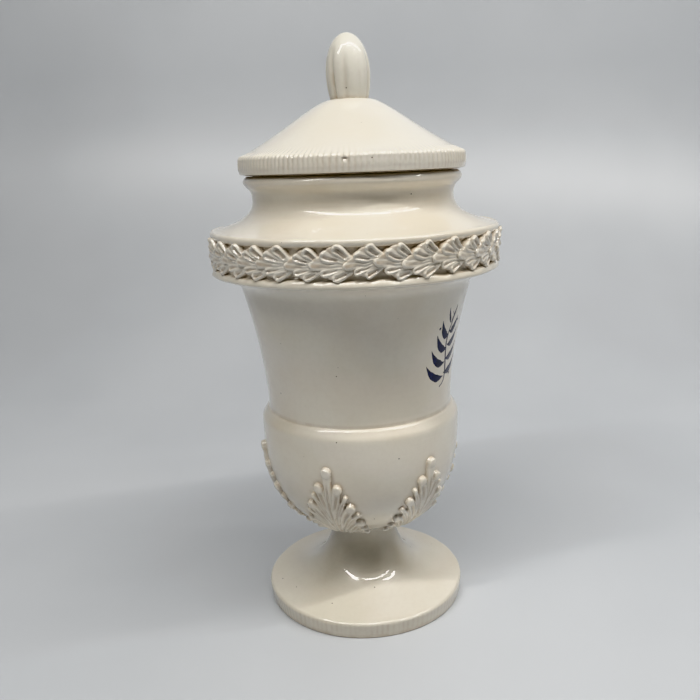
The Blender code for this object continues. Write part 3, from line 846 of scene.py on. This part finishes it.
def build_foot():
    segments = SEGMENTS_PER_NOTCH * FOOT_NOTCHES
    piece = revolve("foot_glazed", foot_section(), segments, foot_glaze, foot_shape, foot_marks)
    biscuit_faces(piece, lambda r, z, up: z < 0.35 and up < -0.5)
    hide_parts("foot")
    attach(piece, "jar")


CHIP_DEG = -3.0
CHIP_Z = 240.3


def chip(angle, z):
    """Depth share of the small chip on the lid's rim."""
    across = np.radians((azimuth_of(angle) - CHIP_DEG + 180) % 360 - 180) * LID_EDGE_R
    return np.exp(-((across / 1.1) ** 2 + ((z - CHIP_Z) / 0.7) ** 2) ** 2)


def lid_shape(angle, r, z):
    rim = (r > LID_RIM_INNER_R)
    upper = window(z, 239.2, 243.0, 1.6) * rim
    lower = window(z, 236.6, 239.0, 1.2) * rim
    groove = notches(angle, LID_NOTCHES, 41)
    out = 0.10 * ripple(angle, z, 42) - groove * (0.58 * upper + 0.30 * lower)
    out = out - 0.9 * chip(angle, z) * rim
    up = -0.55 * groove * window(z, 241.8, 243.6, 0.9) * rim
    up = up + 0.12 * ripple(angle, 0 * z, 43, 4.0) * window(z, 241.5, 243.5, 1.5) * rim
    cone = (z > 243.4)
    up = up + 0.12 * ripple(angle, r, 44) * cone
    belly = 0.25 * window(z, 237.0, 239.0, 1.6) * rim
    return out + belly, up * (z < LID_SEAT_Z - 0.02)


def lid_marks(angle, r, z):
    """Stain mixed with painted shade in the notches and at the finial's seat, stain in the chip, and a
    painted near-black shadow in the joint below the rim.
    """
    rim = window(z, 235.5, 242.0, 0.8) * (r > LID_RIM_INNER_R)
    # Stain mixed with painted shade in the rim's notches
    pool = 0.40 * rim * notches(angle, LID_NOTCHES, 41)
    # Painted near-black shadow in the gap under the lid's rim, where it sits on the mouth
    pool = np.maximum(pool, 2.0 * (z < 234.5) * (z > 233.6) * (r > 50.0) * (r < 56.4))
    pool = np.maximum(pool, chip(angle, z))
    collar = (r < 12.0) & (z > 266.0)
    return {"pool": np.where(collar, 0.30, pool)}


def build_lid():
    segments = SEGMENTS_PER_NOTCH * LID_NOTCHES
    piece = revolve("lid_glazed", lid_section(), segments, lid_glaze, lid_shape, lid_marks)
    biscuit_faces(piece, lambda r, z, up: z < 234.0 and up < -0.5 and r > 46.0)
    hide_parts("lid")
    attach(piece, "lid")


def finial_radius(up):
    """Radius of the bud at a share of its height, before its flutes."""
    above = np.sqrt(np.maximum(1 - ((up - FINIAL_WIDEST) / (1 - FINIAL_WIDEST)) ** 2, 0))
    below = 1 - (1 - FINIAL_BASE_SHARE) * (1 - up / FINIAL_WIDEST) ** 2
    return FINIAL_R * np.where(up > FINIAL_WIDEST, above, below)


def finial_groove(angle, up):
    """Grooves between the petals: narrow, deep at the base and gone on the dome."""
    turn = np.radians(azimuth_of(angle) - FINIAL_FIRST_GROOVE_DEG) * FINIAL_FLUTES
    uneven = 0.75 + 0.25 * np.sin(2 * angle + 0.7) + 0.2 * np.sin(3 * angle + 2.0)
    narrow = (0.5 + 0.5 * np.cos(turn + 0.5 * np.sin(2 * angle))) ** 2.6
    return narrow * uneven * np.clip((0.78 - up) / 0.5, 0, 1) ** 0.8


def finial_shape(angle, r, z):
    up = np.clip((z - FINIAL_BASE_Z) / (FINIAL_TOP_Z - FINIAL_BASE_Z), 0, 1)
    side = (z > FINIAL_BASE_Z + 0.05)
    inward = -0.12 * r * finial_groove(angle, up) * side
    return inward + 0.10 * ripple(angle, z, 51) * np.clip(r / 6, 0, 1) * side, 0 * z


def finial_marks(angle, r, z):
    # Glaze stain mixed with painted shade in the grooves between the petals and at the base where the bud
    # meets the lid
    up = np.clip((z - FINIAL_BASE_Z) / (FINIAL_TOP_Z - FINIAL_BASE_Z), 0, 1)
    base = 0.35 * window(up, 0.0, 0.02, 0.05)
    return {"pool": np.clip(0.55 * finial_groove(angle, up) ** 1.5 + base, 0, 1)}


def build_finial():
    ups = np.sin(np.linspace(0.0, pi / 2, 90))
    section = [[0.0, FINIAL_TOP_Z]]
    height = FINIAL_TOP_Z - FINIAL_BASE_Z
    for up in ups[-2:0:-1]:
        section.append([float(finial_radius(up)), FINIAL_BASE_Z + height * up])
    base_r = float(finial_radius(0.0))
    section += [[base_r - 0.1, FINIAL_BASE_Z + 0.12], [base_r - 0.5, FINIAL_BASE_Z], [5.0, FINIAL_BASE_Z]]
    section += [[0.0, FINIAL_BASE_Z]]
    piece = revolve("finial_glazed", section, FINIAL_SEGMENTS, finial_glaze, finial_shape, finial_marks)
    for vertex in piece.data.vertices:
        vertex.co.x -= FINIAL_LEAN * MM * (vertex.co.z / MM - FINIAL_BASE_Z) / height
    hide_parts("finial")
    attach(piece, "lid")


# ---------------------------------------------------------------- painted sprig

SPRIG_DEG = 57.0
SPRIG_LOW_Z = 127.0
SPRIG_HIGH_Z = 166.0
bell_table = np.array(curve((BELL_TOP_R, BELL_TOP_Z), (55.5, 161.0), (49.9, 140.0),
                            (BELL_FOOT_R, BELL_FOOT_Z), 0.5) + [[BELL_FOOT_R, BELL_FOOT_Z]])[::-1]


def bell_r(z):
    """Radius of the bell's outer wall at a height."""
    return np.interp(z, bell_table[:, 1], bell_table[:, 0])


def brush_stroke(points, widths, stations=22):
    """Verts and faces of a thin lens laid on the bell along a smooth line; mm across and up."""
    points = np.array(points, float)
    t = np.linspace(0, 1, stations)
    knots = np.linspace(0, 1, len(points))
    fit = np.polyfit(knots, points, len(points) - 1)
    path = np.stack([np.polyval(fit[:, axis], t) for axis in (0, 1)], 1)
    half = np.interp(t, np.linspace(0, 1, len(widths)), widths)
    way = np.gradient(path, axis=0)
    way = way / np.linalg.norm(way, axis=1)[:, None]
    across = np.stack([-way[:, 1], way[:, 0]], 1)
    ring = ((-1.0, -0.02), (-0.6, 0.05), (0.0, 0.07), (0.6, 0.05), (1.0, -0.02), (0.0, -0.15))
    verts, faces = [], []
    for spot, side, wide in zip(path, across, half):
        for offset, lift in ring:
            x, z = spot + side * wide * offset
            angle = radians(SPRIG_DEG - 90.0) + x / bell_r(z)
            r = bell_r(z) + wall_wobble(angle, z) + lift
            verts.append((r * cos(angle), r * sin(angle), z))
    size = len(ring)
    for row in range(stations - 1):
        for k in range(size):
            a, b = row * size + k, row * size + (k + 1) % size
            faces.append((a, b, b + size, a + size))
    faces.append(tuple(range(size - 1, -1, -1)))
    faces.append(tuple(range((stations - 1) * size, stations * size)))
    return verts, faces


def build_sprig():
    """A generic painted herb: a curved stem with pairs of pointed leaves and berries."""
    strokes = []
    stem = [(-3.0, SPRIG_LOW_Z), (1.5, 137.0), (-1.0, 150.0), (1.0, 159.0), (0.0, SPRIG_HIGH_Z)]
    strokes.append((stem, (0.35, 0.75, 0.6, 0.45, 0.15)))
    for step, z in enumerate((133.0, 140.5, 148.0, 155.0)):
        reach = 15.5 - 2.4 * step
        for side in (-1, 1):
            foot = (0.2 * side, z + 0.8 * side)
            bend = (0.55 * reach * side, z + 1.0 + 0.8 * side)
            tip = (reach * side, z + 7.5)
            strokes.append(((foot, bend, tip), (0.25, 2.3, 1.9, 0.1)))
    for side in (-1, 1):
        strokes.append((((0.0, 160.0), (2.2 * side, 163.5), (4.0 * side, 168.5)), (0.15, 0.9, 0.8, 0.1)))
    for x, z in ((-8.5, 133.0), (8.5, 131.5), (-9.5, 158.5), (9.0, 160.0)):
        strokes.append((((x - 0.8, z), (x, z + 0.1), (x + 0.8, z)), (0.1, 0.8, 0.8, 0.1)))
    verts, faces = [], []
    for points, widths in strokes:
        more, loops = brush_stroke(points, widths)
        faces += [tuple(index + len(verts) for index in loop) for loop in loops]
        verts += more
    piece = make_piece("painted_sprig", verts, faces, blue)
    fix = bmesh.new()
    fix.from_mesh(piece.data)
    bmesh.ops.recalc_face_normals(fix, faces=fix.faces)
    fix.to_mesh(piece.data)
    fix.free()
    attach(piece, "jar")


# ---------------------------------------------------------------- studio, in metres

FLOOR_FRONT_Y = -1.3
FLOOR_HALF_WIDTH = 1.8
SWEEP_START_Y = 0.25
SWEEP_RADIUS = 0.35
SWEEP_TOP_Z = 1.6
SWEEP_PIECES = 12
HORIZON_STRENGTH = 0.05
OVERHEAD_STRENGTH = 0.01


def build_stage():
    """A pale floor that sweeps up behind the jar."""
    n = Nodes("pale_floor")
    tone = n.ramp(n.noise(3.0, 3.0), 0.3, 0.7)
    pale = n.mix(tone, (0.50, 0.52, 0.545), (0.56, 0.58, 0.605))
    n.link(pale, n.shader.inputs["Base Color"])
    n.shader.inputs["Roughness"].default_value = 0.35
    profile = [(FLOOR_FRONT_Y, 0.0), (SWEEP_START_Y, 0.0)]
    for step in range(1, SWEEP_PIECES + 1):
        angle = pi / 2 * step / SWEEP_PIECES
        profile.append((SWEEP_START_Y + SWEEP_RADIUS * sin(angle), SWEEP_RADIUS * (1 - cos(angle))))
    profile.append((SWEEP_START_Y + SWEEP_RADIUS, SWEEP_TOP_Z))
    verts = [(x, y, z) for y, z in profile for x in (-FLOOR_HALF_WIDTH, FLOOR_HALF_WIDTH)]
    faces = [(2 * k, 2 * k + 1, 2 * k + 3, 2 * k + 2) for k in range(len(profile) - 1)]
    mesh = bpy.data.meshes.new("floor")
    mesh.from_pydata(verts, [], faces)
    mesh.shade_smooth()
    mesh.materials.append(n.material)
    floor = bpy.data.objects.new("floor", mesh)
    bpy.context.scene.collection.objects.link(floor)


def area_light(name, place, aim, size, size_y, watts, colour, mirrored=True):
    """A soft panel that the camera doesn't see; mirrored says if the glaze reflects it."""
    data = bpy.data.lights.new(name, "AREA")
    data.shape = "RECTANGLE"
    data.size, data.size_y = size, size_y
    data.energy = watts
    data.color = colour
    lamp = bpy.data.objects.new(name, data)
    lamp.location = place
    lamp.visible_camera = False
    lamp.visible_glossy = mirrored
    lamp.rotation_euler = (Vector(aim) - Vector(place)).to_track_quat("-Z", "Y").to_euler()
    bpy.context.scene.collection.objects.link(lamp)


def build_lights():
    """A long strip and a thin one for the highlights, three weak fills, and a dim world."""
    area_light("strip", (0.10, -0.35, 1.05), (0.0, 0.0, 0.12), 2.06, 0.045, 13.5, (1.0, 0.98, 0.945))
    area_light("glint", (0.04, -0.49, 1.05), (0.0, 0.0, 0.12), 2.1, 0.012, 4.2, (1.0, 0.985, 0.955))
    area_light("ceiling", (0.8, -0.1, 1.3), (0.0, 0.0, 0.1), 1.6, 1.4, 0.8, (1.0, 0.99, 0.97))
    area_light("side", (1.3, -0.6, 0.45), (0.0, 0.0, 0.15), 1.0, 1.0, 0.7, (1.0, 0.985, 0.96))
    area_light("back", (0.3, 0.52, 1.15), (0.0, 0.1, 0.1), 1.4, 0.5, 3.4, (1.0, 0.99, 0.98), False)
    world = bpy.data.worlds.new("studio")
    world.use_nodes = True
    nodes, links = world.node_tree.nodes, world.node_tree.links
    split = nodes.new("ShaderNodeSeparateXYZ")
    links.new(nodes.new("ShaderNodeTexCoord").outputs["Generated"], split.inputs["Vector"])
    height = nodes.new("ShaderNodeMapRange")
    height.interpolation_type = "SMOOTHSTEP"
    limits = {"From Min": 0.05, "From Max": 0.4, "To Min": HORIZON_STRENGTH, "To Max": OVERHEAD_STRENGTH}
    for label, number in limits.items():
        height.inputs[label].default_value = number
    links.new(split.outputs["Z"], height.inputs["Value"])
    background = nodes["Background"]
    background.inputs["Color"].default_value = (1.0, 0.98, 0.95, 1.0)
    links.new(height.outputs["Result"], background.inputs["Strength"])
    bpy.context.scene.world = world
    bpy.context.scene.view_settings.view_transform = "Khronos PBR Neutral"


# Camera: its place in mm, its tilts, and its lens
CAMERA_PLACE = (0.0, -388.3, 239.0)
CAMERA_DOWN_DEG = 14.2746
CAMERA_YAW_DEG = -0.6417
CAMERA_ROLL_DEG = -2.1207
LENS_MM = 38.1024
SENSOR_MM = 36.0


def build_camera():
    down, yaw, roll = (radians(a) for a in (CAMERA_DOWN_DEG, CAMERA_YAW_DEG, CAMERA_ROLL_DEG))
    ahead = Vector((sin(yaw) * cos(down), cos(yaw) * cos(down), -sin(down)))
    right = Vector((cos(yaw), -sin(yaw), 0.0))
    up = right.cross(ahead)
    tilted_right = right * cos(roll) + up * sin(roll)
    tilted_up = up * cos(roll) - right * sin(roll)
    data = bpy.data.cameras.new("camera")
    data.sensor_width = SENSOR_MM
    data.lens = LENS_MM
    camera = bpy.data.objects.new("camera", data)
    turn = Matrix((tilted_right, tilted_up, -ahead)).transposed()
    camera.matrix_world = Matrix.Translation(Vector(CAMERA_PLACE) * MM) @ turn.to_4x4()
    bpy.context.scene.collection.objects.link(camera)
    bpy.context.scene.camera = camera


build_foot()
build_vessel()
build_lid()
build_finial()
for index in range(GARLAND_COUNT):
    build_garland_leaf(index + 1)
for index in range(ACANTHUS_COUNT):
    build_acanthus_leaf(index + 1)
build_sprig()
build_stage()
build_lights()
build_camera()

bpy.context.view_layer.update()
